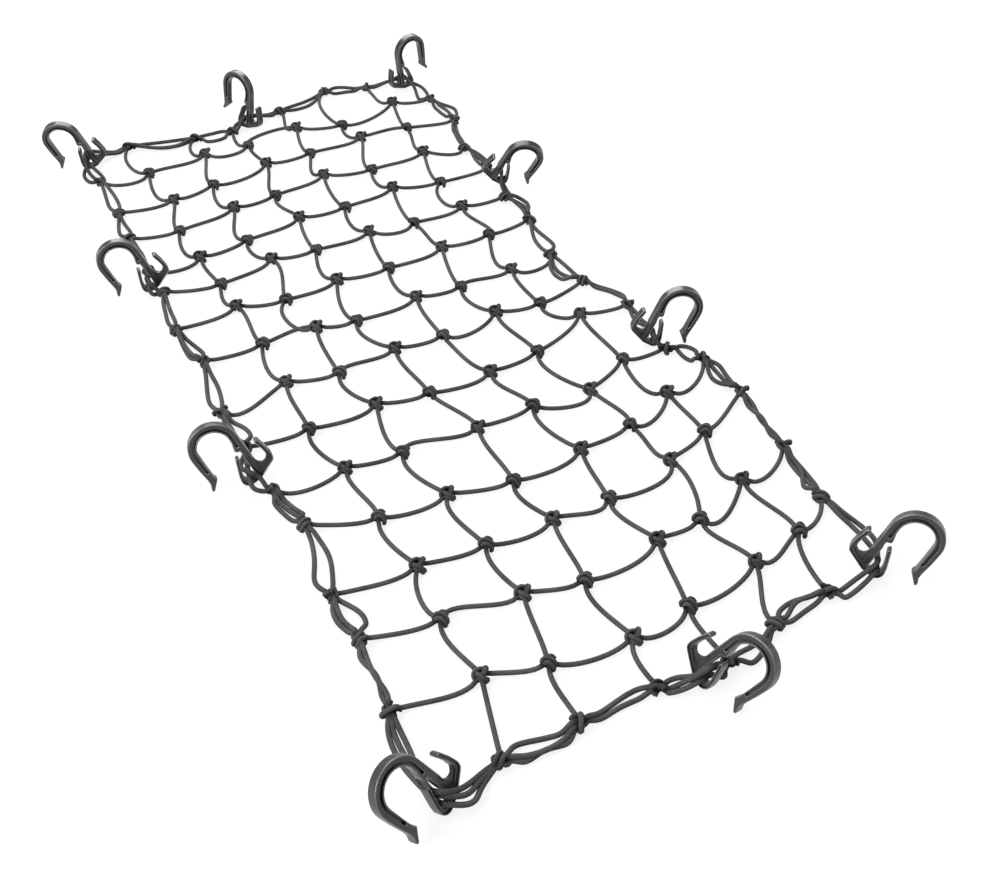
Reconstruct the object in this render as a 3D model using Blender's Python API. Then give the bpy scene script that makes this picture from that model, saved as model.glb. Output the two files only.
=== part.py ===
"""Elastic cargo net lying flat: a knotted square mesh of round elastic cord, a doubled border cord
knotted to its edge, and ten moulded hooks clipped on the border.

The net lies with its length along Y, the near edge at -Y. Tables are in millimetres and degrees.
Rows are numbered 0 (far border) to 15 (near border), columns 0 (left border) to 7 (right border).
"""

import math

import bmesh
import bpy
from mathutils import Matrix, Vector

MM = 0.001
TOUCH_GAP = 0.3  # kept between two pieces that touch

# ---- cord ------------------------------------------------------------------------------------

CORD = 3.8  # diameter of the elastic cord
CORD_HALF = 0.46 * CORD  # half side of the square section that stands for the round cord
LIE_HEIGHT = 2.0  # centre of a strand that lies on the surface
KNOT_REACH = 5.6  # from a knot's centre to where its strands leave it
KNOT_PORT_HEIGHT = 3.4
KNOT_TOP = 8.6
KNOT_FOOT = 2.6  # half side of the flat spot a knot rests on
STRAND_STEPS = 3
BORDER_STEPS = 4

# ---- lay of the net --------------------------------------------------------------------------

LAY_X = -6.1  # shift that puts the origin under the middle of the whole net
LAY_Y = -12.5
ROWS = (  # one row of knots each: its ends across the net, its middle along it, skew and bow
    # left, right, y, slant, bow
    (-170, 201, 424, 1, -1),
    (-173, 197, 364, -4, 1),
    (-178, 196, 301, 7, 16),
    (-180, 179, 245, 0, 12),
    (-182, 179, 193, 0, 9),
    (-176, 168, 144, -6, 2),
    (-184, 168, 90, 0, -4),
    (-177, 155, 33, -4, -5),
    (-180, 159, -26, 4, -3),
    (-181, 173, -73, 0, -17),
    (-182, 181, -126, 8, -21),
    (-175, 186, -172, 6, -38),
    (-178, 187, -230, 14, -33),
    (-176, 175, -286, 3, -32),
    (-187, 178, -345, 4, -27),
    (-192, 158, -410, 5, -9),
)
COLUMN_SHARES = (0.0, 0.145, 0.29, 0.43, 0.575, 0.72, 0.86, 1.0)  # of the way from left to right
STAGGER = (3.7, 3.5)  # every other knot is pulled this much right and up, the rest left and down
PULLED = (  # knots pulled further off their place by the lay
    # row, column, dx, dy
    (0, 1, -12, 1),
    (0, 2, 2, -17),
    (0, 4, -3, -5),
    (0, 5, 4, 14),
    (0, 6, -4, -2),
    (1, 1, -3, -5),
    (1, 4, -1, 7),
    (1, 5, -3, -6),
    (1, 6, 9, 11),
    (2, 0, 4, 6),
    (2, 1, 1, -10),
    (2, 2, -3, -4),
    (2, 6, 5, 3),
    (2, 7, 2, -5),
    (3, 0, 2, 5),
    (3, 1, -1, -9),
    (3, 2, 0, -4),
    (3, 4, -1, 8),
    (3, 6, 6, 5),
    (4, 1, -3, -14),
    (4, 2, -1, -6),
    (4, 5, -2, 7),
    (5, 1, 2, -11),
    (6, 1, 3, 6),
    (6, 3, -4, 1),
    (6, 6, 6, 1),
    (7, 1, 6, 4),
    (7, 3, -6, -1),
    (7, 6, 0, -5),
    (8, 0, -6, -3),
    (8, 1, 0, 5),
    (8, 6, -1, -5),
    (9, 4, -2, -7),
    (9, 6, 3, 15),
    (10, 2, -1, 5),
    (10, 3, 5, -4),
    (10, 4, 9, 1),
    (10, 5, 0, -17),
    (11, 2, -5, 1),
    (11, 4, 3, -4),
    (11, 5, 5, -1),
    (11, 6, -4, -4),
    (12, 0, -6, -4),
    (12, 2, 4, 7),
    (12, 5, 3, -5),
    (13, 0, -7, -2),
    (13, 1, -1, 5),
    (13, 4, 7, -1),
    (13, 6, -4, 0),
    (14, 0, -2, -2),
    (14, 1, 3, 3),
    (14, 2, -1, 4),
    (14, 3, 0, -9),
    (14, 5, 4, -3),
    (14, 6, 4, 1),
    (14, 7, -14, 2),
    (15, 1, -5, 3),
    (15, 2, -1, 4),
    (15, 3, 6, 2),
)
HOOK_SIDE_KNOTS = (  # border knots that sit right beside a hook
    # row, column, x, y
    (0, 3, -21, 401),
    (4, 0, -178, 190),
    (4, 7, 180, 195),
    (9, 0, -184, -80),
    (10, 7, 167, -140),
    (15, 4, 16, -424),
)
LAST_ROW = len(ROWS) - 1
LAST_COLUMN = len(COLUMN_SHARES) - 1

# How strands leave the two kinds of knot. Across the net a heading is counted from the straight line
# to the next knot, along the net from +X. It drifts from row to row, by this much over half the net.
KNOT_HEADINGS = (
    # kind, side, heading, drift
    ("even", "right", -1, -25),
    ("even", "far", 86, -20),
    ("even", "left", 5, 8),
    ("even", "near", 249, 0),
    ("odd", "right", -3, 8),
    ("odd", "far", 128, -36),
    ("odd", "left", 23, 8),
    ("odd", "near", 253, 0),
)
STRAND_TENSION = 0.85
PORT_GAP = 38  # least angle between two strands that leave one knot
SWUNG = (  # strands that leave their knots well off the common heading
    # row, column, run, at this knot, at the next knot to the right or the near side
    (0, 1, "along", -40, 30),
    (0, 2, "along", -60, 30),
    (0, 3, "along", -20, 30),
    (0, 5, "along", -40, 0),
    (1, 0, "across", -45, 60),
    (1, 2, "across", -40, 40),
    (1, 3, "across", 50, -60),
    (1, 3, "along", 20, -60),
    (1, 5, "across", -50, 10),
    (2, 2, "across", -40, 20),
    (2, 5, "across", 30, -60),
    (2, 6, "along", 20, -40),
    (3, 2, "along", 0, 30),
    (3, 3, "along", 0, -50),
    (3, 6, "across", -10, 60),
    (4, 0, "across", -40, 30),
    (4, 6, "along", -30, 10),
    (5, 2, "along", 30, -10),
    (5, 4, "across", -30, 40),
    (5, 5, "along", 40, -30),
    (5, 6, "along", 0, -50),
    (6, 1, "along", 30, 10),
    (6, 2, "along", -30, 30),
    (6, 3, "along", -10, 20),
    (7, 1, "across", 20, -50),
    (7, 5, "across", 40, -10),
    (7, 6, "across", -60, 60),
    (8, 0, "across", -50, -20),
    (8, 2, "across", 40, -10),
    (8, 4, "across", -40, 10),
    (8, 4, "along", 30, 0),
    (8, 6, "along", 10, 60),
    (9, 2, "along", 0, 30),
    (9, 3, "along", 40, -30),
    (10, 0, "across", -40, 0),
    (10, 2, "across", 60, -10),
    (10, 4, "across", -20, 40),
    (10, 5, "along", 30, -20),
    (10, 6, "along", 10, 50),
    (11, 2, "along", -20, 20),
    (11, 5, "across", -40, 20),
    (11, 5, "along", 40, 10),
    (11, 6, "across", -60, 35),
    (12, 1, "along", -30, 40),
    (12, 3, "across", 0, 40),
    (12, 4, "across", -10, 30),
    (12, 5, "along", 30, -20),
    (12, 6, "along", 0, 40),
    (13, 1, "across", 60, -10),
    (13, 5, "across", -50, 0),
    (13, 5, "along", 20, -10),
    (13, 6, "across", -60, 30),
    (14, 3, "across", -40, 30),
    (14, 3, "along", -30, 10),
    (14, 5, "across", -50, 10),
    (14, 5, "along", -10, 20),
    (14, 6, "across", -10, 30),
    (14, 6, "along", -30, 10),
)

# ---- border: two cords from knot to knot -----------------------------------------------------

BORDER_SPLAY = 20  # degrees to each side at which the two cords leave a border knot
LEFT_BOWS = (  # outward bow of the outer and of the inner cord, knot 1 to 14
    (1, -3),
    (2, -4),
    (2, -3),
    (0, 0),
    (1.5, -3),
    (1.5, -3),
    (1.5, -4.5),
    (1, -10),
    (0, 0),
    (1.5, -3),
    (-3, -8),
    (3.5, -11),
    (-1, -2),
)
NEAR_BOWS = ((4, -2), (-1, -4), (0, 0), (5, 0), (2.5, -8))  # knot 1 to 6, left to right
RIGHT_BOWS = (  # knot 14 to 1, near to far
    (1, -5),
    (1.2, -2.8),
    (3, -5),
    (6, 1),
    (0, 0),
    (10, 5.5),
    (2.5, -9),
    (3, -5),
    (9, -1),
    (0, 0),
    (3, -3),
    (2.2, -2.2),
    (8, -2.5),
)
FAR_BOWS = ((5, -3), (1, -8.5), (0, 0), (2.4, -7), (2.4, -4))  # knot 6 to 1, right to left

# ---- hooks -----------------------------------------------------------------------------------

HOOK_WIDTH = 7.5  # across the flat moulding
CROOK_CENTRE = (15.6, 37.3)  # from the foot of the shank: across it and up it
CROOK_OUTER = 18.9
CROOK_INNER = 12.3
SHANK_SLOPE = 69.0  # of the shank above the surface, when the hook is level
SLOT_CORDS = ((7.7, 3.3), (4.9, 8.0))  # where the outer and the inner border cord pass
SLOT_RUN = 6.0  # straight length of cord on each side of the hook's middle plane
HOOKS = (
    # side, after knot, x, y, heading, tip up, lean
    ("left", 4, -177, 163, 173, 1, -5),
    ("left", 9, -185, -116, 170, 0, -17),
    ("left", 14, -183, -421, 204, 2, -30),
    ("near", 3, -8, -421, 283.5, -3, 24),
    ("near", 6, 144, -406, 310, 1, 17),
    ("right", 10, 156, -122, 335.5, -2, 4),
    ("right", 5, 173, 170, 332.4, -6, -15),
    ("right", 1, 186, 409, 371, 28, -4.5),
    ("far", 4, 1, 407, 478, 28, -4),
    ("far", 1, -167, 404, 517, 2, 7),
)


def heading(degrees):
    angle = math.radians(degrees)
    return Vector((math.cos(angle), math.sin(angle), 0.0))


def turned_left(direction):
    """The level direction a quarter turn to the left."""
    return Vector((-direction.y, direction.x, 0.0)).normalized()


# ---- places of the knots ---------------------------------------------------------------------


SIDE_STEPS = {"right": (0, 1), "far": (-1, 0), "left": (0, -1), "near": (1, 0)}


def knot_kind(row, column):
    return "odd" if (row + column) % 2 else "even"


def knot_place(row, column):
    """Middle of a knot, on the surface."""
    left, right, middle, slant, bow = ROWS[row]
    across = 2 * column / LAST_COLUMN - 1
    x = left + (right - left) * COLUMN_SHARES[column]
    y = middle + slant * across + bow * (1 - across**2)
    if 0 < row < LAST_ROW and 0 < column < LAST_COLUMN:
        sign = 1 if knot_kind(row, column) == "odd" else -1
        x += sign * STAGGER[0]
        y += sign * STAGGER[1]
    for pulled_row, pulled_column, dx, dy in PULLED:
        if (pulled_row, pulled_column) == (row, column):
            x += dx
            y += dy
    for hook_row, hook_column, hook_x, hook_y in HOOK_SIDE_KNOTS:
        if (hook_row, hook_column) == (row, column):
            x, y = hook_x, hook_y
    return Vector((x - LAY_X, y - LAY_Y, 0.0))


# ---- cord mesh: knots as hulls, strands as square tubes bridged between them ---------------------


def ring_points(centre, along):
    """Corners of the cord's section, seen along its run: left low, right low, right high, left high."""
    side = turned_left(along) * CORD_HALF
    up = Vector((0, 0, CORD_HALF))
    return [centre + side - up, centre - side - up, centre - side + up, centre + side + up]


def new_verts(bm, points):
    return [bm.verts.new(point * MM) for point in points]


def port(knot, direction):
    """Centre of the place where a strand leaves a knot in this direction."""
    level = Vector((direction.x, direction.y, 0)).normalized()
    return knot + level * KNOT_REACH + Vector((0, 0, KNOT_PORT_HEIGHT))


def add_knot(bm, knot, directions, bump_heading, closed=()):
    """A knot as the hull of its ports, its flat foot and its bumps. Returns the port rings, each seen
    along the strand that leaves there. Ports named in closed stay shut."""
    rings = [new_verts(bm, ring_points(port(knot, d), d)) for d in directions]
    foot = [
        knot + heading(bump_heading + 45 + 90 * i) * KNOT_FOOT * 1.4
        for i in range(4)
    ]
    bump = heading(bump_heading)
    top = [
        knot + bump * 2.6 + turned_left(bump) * 1.5 + Vector((0, 0, KNOT_TOP)),
        knot + bump * 2.6 - turned_left(bump) * 1.5 + Vector((0, 0, KNOT_TOP)),
        knot - bump * 2.8 + Vector((0, 0, KNOT_TOP - 0.9)),
    ]
    loose = new_verts(bm, foot + top)
    every = loose + [v for ring in rings for v in ring]
    bmesh.ops.convex_hull(bm, input=every, use_existing_faces=False)
    open_ports = [set(ring) for i, ring in enumerate(rings) if i not in closed]
    shut = [
        face
        for face in {f for v in every for f in v.link_faces}
        if any(set(face.verts) <= ring for ring in open_ports)
    ]
    bmesh.ops.delete(bm, geom=shut, context="FACES_KEEP_BOUNDARY")
    for vert in loose:
        if not vert.link_faces:
            bm.verts.remove(vert)
    return rings


def mirrored(ring):
    """The same ring seen from its other side."""
    return [ring[1], ring[0], ring[3], ring[2]]


def bridge(bm, first, second):
    for i in range(4):
        j = (i + 1) % 4
        bm.faces.new((first[i], first[j], second[j], second[i]))


def blend_height(share, start, end, middle):
    """Height along a strand that comes down from its knot, lies, and climbs to the next."""
    drop = math.sin(math.pi * share) ** 0.5
    return (start * (1 - share) + end * share) * (1 - drop) + middle * drop


def curve_points(start, start_dir, end, end_dir, steps, lie=LIE_HEIGHT):
    """Level cubic from start to end, with the directions of travel at both, and points between."""
    span = (end - start).length
    points = []
    for i in range(1, steps):
        share = i / steps
        a = 2 * share**3 - 3 * share**2 + 1
        b = share**3 - 2 * share**2 + share
        c = -2 * share**3 + 3 * share**2
        d = share**3 - share**2
        point = start * a + start_dir * span * b + end * c + end_dir * span * d
        point.z = blend_height(share, start.z, end.z, lie)
        points.append(point)
    return points


def run_tube(bm, first_ring, centres, last_ring, start, end):
    """Bridges two rings through square sections at the given centres."""
    path = [start] + centres + [end]
    rings = [first_ring]
    for i in range(1, len(path) - 1):
        along = path[i + 1] - path[i - 1]
        rings.append(new_verts(bm, ring_points(path[i], along)))
    rings.append(last_ring)
    for first, second in zip(rings, rings[1:]):
        bridge(bm, first, second)


def finished(bm, name, material):
    bmesh.ops.recalc_face_normals(bm, faces=bm.faces)
    mesh = bpy.data.meshes.new(name)
    bm.to_mesh(mesh)
    bm.free()
    mesh.materials.append(material)
    obj = bpy.data.objects.new(name, mesh)
    bpy.context.scene.collection.objects.link(obj)
    return obj


# ---- the knotted mesh ------------------------------------------------------------------------


def swing(row, column, run, which):
    """How far the end of a strand is swung off the common heading."""
    for swung_row, swung_column, swung_run, first, last in SWUNG:
        if (swung_row, swung_column, swung_run) == (row, column, run):
            return (first, last)[which]
    return 0


def angle_to(start, end):
    return math.degrees(math.atan2(end.y - start.y, end.x - start.x))


def strand_heading(row, column, side):
    """Heading at which the strand on this side leaves the knot."""
    step_row, step_column = SIDE_STEPS[side]
    run = "across" if step_row == 0 else "along"
    first_row, first_column = min((row, column), (row + step_row, column + step_column))
    is_last = (first_row, first_column) != (row, column)
    swung = swing(first_row, first_column, run, is_last)
    straight = angle_to(knot_place(row, column), knot_place(row + step_row, column + step_column))
    if not (0 < row < LAST_ROW and 0 < column < LAST_COLUMN):
        return straight + swung
    for kind, its_side, base, drift in KNOT_HEADINGS:
        if (kind, its_side) == (knot_kind(row, column), side):
            along = 2 * row / LAST_ROW - 1
            return (straight if run == "across" else 0) + base + drift * along + swung
    return straight


def spread(headings):
    """The same headings, pushed apart where two are closer than a knot has room for."""
    order = sorted(range(len(headings)), key=lambda i: headings[i] % 360)
    spaced = [headings[i] % 360 for i in order]
    count = len(spaced)
    for _ in range(12):
        for i in range(count):
            j = (i + 1) % count
            lack = PORT_GAP - (spaced[j] - spaced[i]) % 360
            if 0 < lack < PORT_GAP:
                spaced[i] -= lack / 2
                spaced[j] += lack / 2
    result = [0.0] * count
    for place, i in enumerate(order):
        result[i] = spaced[place]
    return result


def knot_headings(row, column):
    return spread([strand_heading(row, column, side) for side in SIDE_STEPS])


def seat_side(row, column):
    """The side of a border knot on which its strand of the netting ends."""
    if row == 0:
        return "near"
    if row == LAST_ROW:
        return "far"
    return "right" if column == 0 else "left"


def make_netting(material):
    bm = bmesh.new()
    ports = {}
    for row in range(1, LAST_ROW):
        for column in range(1, LAST_COLUMN):
            directions = [heading(h) for h in knot_headings(row, column)]
            bump = 40 if knot_kind(row, column) == "odd" else -60
            rings = add_knot(bm, knot_place(row, column), directions, bump)
            ports[row, column] = list(zip(directions, rings))
    right, far, left, near = range(4)
    for row in range(1, LAST_ROW):
        for column in range(LAST_COLUMN):
            add_strand(bm, ports, (row, column), (row, column + 1), right, left)
    for column in range(1, LAST_COLUMN):
        for row in range(LAST_ROW):
            add_strand(bm, ports, (row, column), (row + 1, column), near, far)
    return finished(bm, "netting", material)


def strand_end(bm, ports, at, side):
    """Centre, direction and ring, seen along the strand as it leaves this end."""
    if at in ports:
        direction, ring = ports[at][side]
        return port(knot_place(*at), direction), direction, ring
    direction = border_directions(*at)[4]
    centre = port(knot_place(*at), direction) + direction * TOUCH_GAP
    ring = new_verts(bm, ring_points(centre, direction))
    bm.faces.new(ring)
    return centre, direction, ring


def add_strand(bm, ports, first, second, first_side, second_side):
    start, start_dir, start_ring = strand_end(bm, ports, first, first_side)
    end, end_dir, end_ring = strand_end(bm, ports, second, second_side)
    pull = STRAND_TENSION
    centres = curve_points(start, start_dir * pull, end, -end_dir * pull, STRAND_STEPS)
    run_tube(bm, start_ring, centres, mirrored(end_ring), start, end)


# ---- hooks -----------------------------------------------------------------------------------


def arc(centre, radius, first, last, steps):
    """Points of an arc from one angle to the other, in degrees."""
    points = []
    for i in range(steps + 1):
        angle = math.radians(first + (last - first) * i / steps)
        points.append((centre[0] + radius * math.cos(angle), centre[1] + radius * math.sin(angle)))
    return points


def hook_outline():
    """Outline of the moulding: t across the shank and s up it, counter-clockwise from the foot."""
    far_arm = [(8.6, -3.9), (12.6, -2.2), (14.4, 1.6), (13.2, 8.0), (8.6, 20.4), (6.6, 20.8)]
    far_slot = [(5.8, 18.9), (8.6, 12.4), (10.9, 5.0), (10.4, 1.7), (8.4, 0.3), (4.2, 0.4), (2.3, 2.2)]
    tooth = [(2.3, 19.0), (1.7, 22.4), (2.0, 24.6), (4.4, 25.2), (5.2, 26.8), (4.6, 29.5), (3.5, 33.5)]
    inner_turn = arc(CROOK_CENTRE, CROOK_INNER, 180, 0, 10)
    leg_inside = [(28.2, 28.0), (28.3, 18.2), (27.2, 15.1)]
    tip = [(34.0, 7.8), (35.4, 8.6), (35.3, 10.4), (33.6, 13.8)]
    leg_outside = [(33.5, 18.0), (34.3, 28.0)]
    outer_turn = arc(CROOK_CENTRE, CROOK_OUTER, 0, 180, 14)
    eye = [(-3.1, 13.0), (-3.7, 9.6), (-5.4, 7.7), (-8.0, 7.2), (-10.6, 8.7), (-12.2, 11.6)]
    near_tip = [(-12.2, 15.4), (-10.9, 21.5), (-10.2, 24.8), (-11.6, 26.2), (-13.6, 24.8)]
    near_arm = [(-15.3, 17.0), (-16.0, 10.4), (-15.4, 6.8), (-12.8, 3.8), (0.0, -2.6)]
    return far_arm + far_slot + tooth + inner_turn + leg_inside + tip + leg_outside + outer_turn + eye + near_tip + near_arm


def hook_mesh(material):
    bm = bmesh.new()
    half = HOOK_WIDTH / 2
    face = bm.faces.new([bm.verts.new(Vector((t, s, -half)) * MM) for t, s in hook_outline()])
    raised = bmesh.ops.extrude_face_region(bm, geom=[face])
    moved = [item for item in raised["geom"] if isinstance(item, bmesh.types.BMVert)]
    bmesh.ops.translate(bm, verts=moved, vec=(0, 0, HOOK_WIDTH * MM))
    bmesh.ops.recalc_face_normals(bm, faces=bm.faces)
    mesh = bpy.data.meshes.new("hook")
    bm.to_mesh(mesh)
    bm.free()
    mesh.materials.append(material)
    return mesh


def hook_turn(hook):
    """Rotation of a hook: its flat moulding stood on edge, turned outward, tipped and leant."""
    _, _, _, _, outward, tip_up, lean = hook
    stand = Matrix.Rotation(math.radians(90 - lean), 3, "X")
    tilt = Matrix.Rotation(math.radians(tip_up - (90 - SHANK_SLOPE)), 3, "Z")
    return Matrix.Rotation(math.radians(outward), 3, "Z") @ stand @ tilt


def hook_origin(hook):
    """Foot of the shank, high enough for the hook to rest on the surface."""
    _, _, x, y, _, _, _ = hook
    turn = hook_turn(hook)
    half = HOOK_WIDTH / 2
    corners = [Vector((t, s, n)) for t, s in hook_outline() for n in (-half, half)]
    lowest = min((turn @ corner).z for corner in corners)
    return Vector((x - LAY_X, y - LAY_Y, -lowest))


def make_hook(number, hook, mesh):
    obj = bpy.data.objects.new(f"hook_{number:02d}", mesh)
    bpy.context.scene.collection.objects.link(obj)
    obj.matrix_world = Matrix.Translation(hook_origin(hook) * MM) @ hook_turn(hook).to_4x4()
    return obj


# ---- border ----------------------------------------------------------------------------------


def border_stations():
    """Border knots in order round the net, counter-clockwise, each with its side and number."""
    stations = [("left", row, (row, 0)) for row in range(1, LAST_ROW)]
    stations += [("near", column, (LAST_ROW, column)) for column in range(1, LAST_COLUMN)]
    stations += [("right", row, (row, LAST_COLUMN)) for row in range(LAST_ROW - 1, 0, -1)]
    stations += [("far", column, (0, column)) for column in range(LAST_COLUMN - 1, 0, -1)]
    return stations


def span_bows(side, number):
    """Bows of the two cords that run on from this border knot."""
    table, index = {
        "left": (LEFT_BOWS, number - 1),
        "near": (NEAR_BOWS, number - 1),
        "right": (RIGHT_BOWS, LAST_ROW - 1 - number),
        "far": (FAR_BOWS, LAST_COLUMN - 1 - number),
    }[side]
    return table[index] if index < len(table) else (0, 0)


def hook_after(side, number):
    for hook in HOOKS:
        if hook[:2] == (side, number):
            return hook
    return None


def slot_points(hook, cord):
    """The two ends of a cord's straight run through a hook's slot, in the order of the border."""
    turn = hook_turn(hook)
    origin = hook_origin(hook)
    t, s = SLOT_CORDS[cord]
    return [origin + turn @ Vector((t, s, n)) for n in (SLOT_RUN, -SLOT_RUN)]


def border_directions(row, column):
    """Directions at a border knot: its two cords ahead, its two cords behind, its netting strand."""
    stations = border_stations()
    i = [at for _, _, at in stations].index((row, column))
    place = knot_place(row, column)
    headings = []
    for step, end, signs in ((0, 0, (-1, 1)), (-1, 1, (1, -1))):
        side, number, at = stations[i + step]
        hook = hook_after(side, number)
        if hook:
            target = (slot_points(hook, 0)[end] + slot_points(hook, 1)[end]) / 2
        else:
            target = knot_place(*stations[(i + 1 + 2 * step) % len(stations)][2])
        headings += [angle_to(place, target) + sign * BORDER_SPLAY for sign in signs]
    headings.append(strand_heading(row, column, seat_side(row, column)))
    return [heading(h) for h in spread(headings)]


def make_border(material):
    bm = bmesh.new()
    stations = border_stations()
    ports = []
    for side, number, at in stations:
        directions = border_directions(*at)
        rings = add_knot(bm, knot_place(*at), directions, 40 + 57 * number, closed=(4,))
        ports.append(list(zip(directions, rings)))
    count = len(stations)
    for i, (side, number, at) in enumerate(stations):
        j = (i + 1) % count
        hook = hook_after(side, number)
        bows = span_bows(side, number)
        for cord in (0, 1):
            start_dir, start_ring = ports[i][cord]
            end_dir, end_ring = ports[j][2 + cord]
            start = port(knot_place(*at), start_dir)
            end = port(knot_place(*stations[j][2]), end_dir)
            if hook:
                centres = hooked_run(hook, cord, start, start_dir, end, end_dir)
            else:
                centres = bowed_run(start, start_dir, end, end_dir, bows[cord])
            run_tube(bm, start_ring, centres, mirrored(end_ring), start, end)
    return finished(bm, "border_cord", material)


def bowed_run(start, start_dir, end, end_dir, bow):
    """A cord that lies between two border knots and bows off the straight line at its middle."""
    chord = (end - start).normalized()
    outward = -turned_left(chord)
    middle = (start + end) / 2
    middle = Vector((middle.x, middle.y, LIE_HEIGHT)) + outward * bow
    half = BORDER_STEPS // 2
    first = curve_points(start, start_dir, middle, chord, half)
    second = curve_points(middle, chord, end, -end_dir, half)
    for point in first + second:
        point.z = max(LIE_HEIGHT, point.z)
    return first + [middle] + second


def hooked_run(hook, cord, start, start_dir, end, end_dir):
    """A cord that climbs to a hook, passes its slot and comes down to the next knot."""
    before, after = slot_points(hook, cord)
    along = (after - before).normalized()
    level_along = Vector((along.x, along.y, 0)).normalized()
    first = curve_points(start, start_dir, before, level_along, 3, lie=(start.z + before.z) / 2)
    second = curve_points(after, level_along, end, -end_dir, 3, lie=(after.z + end.z) / 2)
    return first + [before, after] + second


# ---- materials and assembly ------------------------------------------------------------------


def plain_material(name, colour, roughness):
    material = bpy.data.materials.new(name)
    material.use_nodes = True
    shader = material.node_tree.nodes["Principled BSDF"]
    shader.inputs["Base Color"].default_value = (*colour, 1)
    shader.inputs["Roughness"].default_value = roughness
    shader.inputs["Metallic"].default_value = 0
    return material


for old in list(bpy.data.objects):
    bpy.data.objects.remove(old, do_unlink=True)

elastic = plain_material("elastic cord", (0.050, 0.045, 0.046), 0.75)
plastic = plain_material("hook plastic", (0.020, 0.020, 0.022), 0.38)

make_netting(elastic)
make_border(elastic)
shared_hook = hook_mesh(plastic)
for hook_number, hook_row in enumerate(HOOKS, 1):
    make_hook(hook_number, hook_row, shared_hook)
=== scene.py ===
"""Elastic cargo net laid flat on a pale floor: knotted mesh, doubled border cord and ten moulded
hooks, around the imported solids. Tables are in millimetres and degrees, meshes in metres."""

import math
import random

import bpy
from mathutils import Matrix, Vector


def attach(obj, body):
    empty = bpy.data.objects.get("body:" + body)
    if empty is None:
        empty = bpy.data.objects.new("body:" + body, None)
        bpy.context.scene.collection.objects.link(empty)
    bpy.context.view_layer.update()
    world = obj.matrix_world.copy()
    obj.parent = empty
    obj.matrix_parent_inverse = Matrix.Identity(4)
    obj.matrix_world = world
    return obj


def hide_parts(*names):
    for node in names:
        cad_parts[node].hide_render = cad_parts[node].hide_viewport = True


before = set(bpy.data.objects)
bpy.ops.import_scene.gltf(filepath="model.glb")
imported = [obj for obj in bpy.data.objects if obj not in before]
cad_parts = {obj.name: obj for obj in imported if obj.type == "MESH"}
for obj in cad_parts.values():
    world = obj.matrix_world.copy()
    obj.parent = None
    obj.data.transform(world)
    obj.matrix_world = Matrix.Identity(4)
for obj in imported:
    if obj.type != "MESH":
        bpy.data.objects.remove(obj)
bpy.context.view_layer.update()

# ---- View, floor and light ---------------------------------------------------------------------
# The net is seen from above its near left corner, on a plain white floor. Four large soft lights
# and a white surround give faint shadows and pale streaks on the plastic.

VIEW_HEADING = 28.9  # clockwise from +Y
VIEW_DOWN = 43.22
VIEW_ROLL = -0.55
VIEW_DISTANCE = 0.8998
VIEW_TARGET = Vector((-0.0057, -0.1607, 0.0))
VIEW_REACH = 20.0
LENS_MM = 42.0


def add_object(name, data):
    """An object with this mesh, camera or light, placed in the scene."""
    obj = bpy.data.objects.new(name, data)
    bpy.context.scene.collection.objects.link(obj)
    return obj


heading_turn = Matrix.Rotation(math.radians(-VIEW_HEADING), 4, "Z")
pitch_turn = Matrix.Rotation(math.radians(90 - VIEW_DOWN), 4, "X")
roll_turn = Matrix.Rotation(math.radians(VIEW_ROLL), 4, "Z")
camera_data = bpy.data.cameras.new("photo_camera")
camera_data.lens = LENS_MM
camera_data.clip_end = VIEW_REACH
camera = add_object("photo_camera", camera_data)
camera.matrix_world = (
    Matrix.Translation(VIEW_TARGET)
    @ heading_turn
    @ pitch_turn
    @ roll_turn
    @ Matrix.Translation((0, 0, VIEW_DISTANCE))
)
bpy.context.scene.camera = camera

FLOOR_HALF = 6.0
FLOOR_DROP = 0.0004  # keeps the floor just clear of the undersides of the cords
FLOOR_GREY = (0.12, 0.12, 0.12, 1)
FLOOR_ROUGHNESS = 0.9
FLOOR_GLOW = 0.82
SURROUND_LIGHT = 0.4
SURROUND_SEEN = 0.87  # as pale as the far floor
WHITE = (1, 1, 1, 1)


def set_inputs(node, **values):
    """Sets inputs of a node by name, with an underscore for each space in the name."""
    for name, value in values.items():
        node.inputs[name.replace("_", " ")].default_value = value
    return node


def new_material(name, **values):
    """A material with inputs of its shader set, and with it the shader, its nodes and its links."""
    material = bpy.data.materials.new(name)
    material.use_nodes = True
    nodes = material.node_tree.nodes
    return material, set_inputs(nodes["Principled BSDF"], **values), nodes, material.node_tree.links


floor_mesh = bpy.data.meshes.new("floor")
floor_corners = [(-1, -1, 0), (1, -1, 0), (1, 1, 0), (-1, 1, 0)]
floor_mesh.from_pydata([Vector(c) * FLOOR_HALF for c in floor_corners], [], [(0, 1, 2, 3)])
floor = add_object("floor", floor_mesh)
floor.location.z = -FLOOR_DROP

white_floor = new_material(
    "white floor",
    Base_Color=FLOOR_GREY,
    Roughness=FLOOR_ROUGHNESS,
    Specular_IOR_Level=0.0,
    Emission_Color=WHITE,
    Emission_Strength=FLOOR_GLOW,
)[0]
floor_mesh.materials.append(white_floor)

surround = bpy.data.worlds.new("white surround")
surround.use_nodes = True
sky = surround.node_tree
background = set_inputs(sky.nodes["Background"], Color=WHITE)
seen_or_lit = sky.nodes.new("ShaderNodeLightPath")
strength = sky.nodes.new("ShaderNodeMapRange")
set_inputs(strength, To_Min=SURROUND_LIGHT, To_Max=SURROUND_SEEN)
sky.links.new(seen_or_lit.outputs["Is Camera Ray"], strength.inputs["Value"])
sky.links.new(strength.outputs["Result"], background.inputs["Strength"])
bpy.context.scene.world = surround
bpy.context.scene.view_settings.view_transform = "Standard"

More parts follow.
